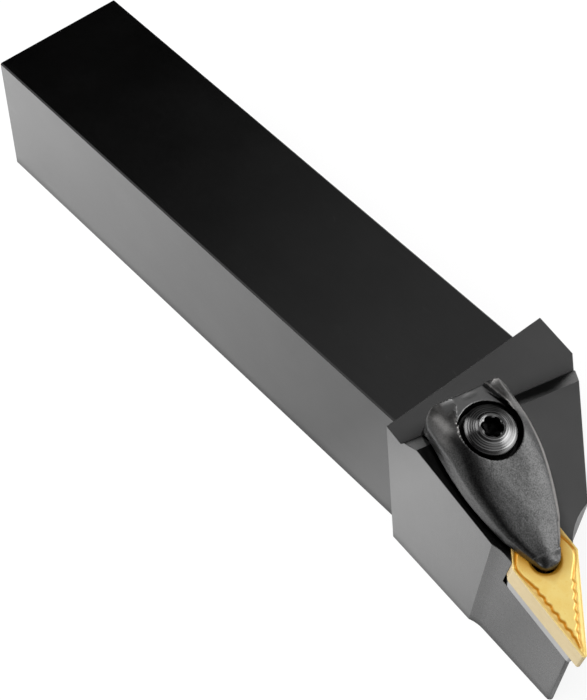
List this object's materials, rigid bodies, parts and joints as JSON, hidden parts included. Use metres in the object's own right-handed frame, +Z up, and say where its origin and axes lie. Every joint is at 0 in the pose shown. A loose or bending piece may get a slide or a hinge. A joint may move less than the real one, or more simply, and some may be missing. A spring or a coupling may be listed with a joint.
{
  "type": "indexable turning tool holder",
  "caption": "Left-hand turning tool holder: a square shank with a sloped head, a diamond insert on a shim, and a screwed top clamp with a finger in the insert's hole.",
  "frame": {"origin": "centre of the shank's rear end face", "axes": "+X along the shank towards the nose, +Z up out of the side that carries the insert, +Y to the shank's far side, away from the cutting point"},
  "size_m": [0.15, 0.0338, 0.0408],
  "materials": {
    "black_oxide_steel": "black oxide on machined steel, satin",
    "black_forging": "black oxide on a blasted forging, dull and grainy",
    "screw_steel": "turned, dark oxide, faint rings",
    "plain_steel": "plain",
    "ground_carbide": "ground, matt silver grey",
    "gold_coating": "thin gold nitride coating, satin"
  },
  "bodies": {
    "holder": {"holder_body": "black_oxide_steel", "shim": "ground_carbide", "shim_screw": "plain_steel", "insert": "gold_coating", "clamp_spring": "plain_steel"},
    "clamp": {"clamp": "black_forging"},
    "clamp_screw": {"clamp_screw": "screw_steel"}
  },
  "joints": [
    {"name": "clamp_lift", "type": "slide", "parent": "holder", "child": "clamp", "axis": [0.2334, 0, 0.9724], "range_m": [0, 0.003]},
    {"name": "screw_turn", "type": "hinge", "parent": "clamp", "child": "clamp_screw", "pos_m": [0.11868, -0.01049, 0.01979], "axis": [0.2334, 0, 0.9724], "range_deg": [0, 1350]}
  ],
  "couplings": [
    {"joint": "screw_turn", "follows": "clamp_lift", "rad_per_m": 7853.9}
  ]
}
